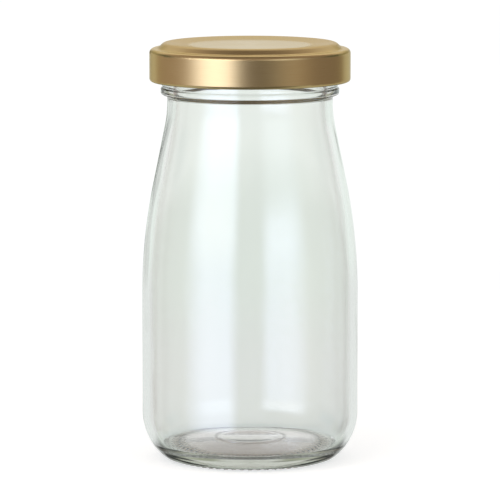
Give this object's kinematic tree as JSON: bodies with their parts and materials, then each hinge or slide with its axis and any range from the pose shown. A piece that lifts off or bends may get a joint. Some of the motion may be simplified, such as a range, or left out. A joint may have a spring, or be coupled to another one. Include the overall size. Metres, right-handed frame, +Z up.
{
  "type": "glass milk bottle",
  "caption": "Wide-mouth clear glass milk bottle with a long sloping shoulder, knurled foot and gold lug cap that unscrews and lifts off.",
  "frame": {"origin": "centre of the foot, on the plane that the bottle stands on", "axes": "+Z up along the bottle's axis, +X to the right and -Y to the viewer in the front view"},
  "size_m": [0.0604, 0.0604, 0.1171],
  "materials": {
    "flint_glass": "clear, faint grey-green tint",
    "gold_lacquered_tinplate": "satin gold lacquer",
    "sealing_compound": "matte off-white"
  },
  "bodies": {
    "bottle": {"glass_bottle": "flint_glass"},
    "liner": {"sealing_ring": "sealing_compound"},
    "cap": {"cap_shell": "gold_lacquered_tinplate"}
  },
  "joints": [
    {"name": "cap_lift", "type": "slide", "parent": "bottle", "child": "liner", "axis": [0, 0, 1], "range_m": [0, 0.024]},
    {"name": "cap_turn", "type": "hinge", "parent": "liner", "child": "cap", "pos_m": [0, 0, 0.1], "axis": [0, 0, 1], "range_deg": [0, 540]}
  ],
  "couplings": [
    {"joint": "cap_lift", "follows": "cap_turn", "m_per_rad": 0.0025465}
  ]
}
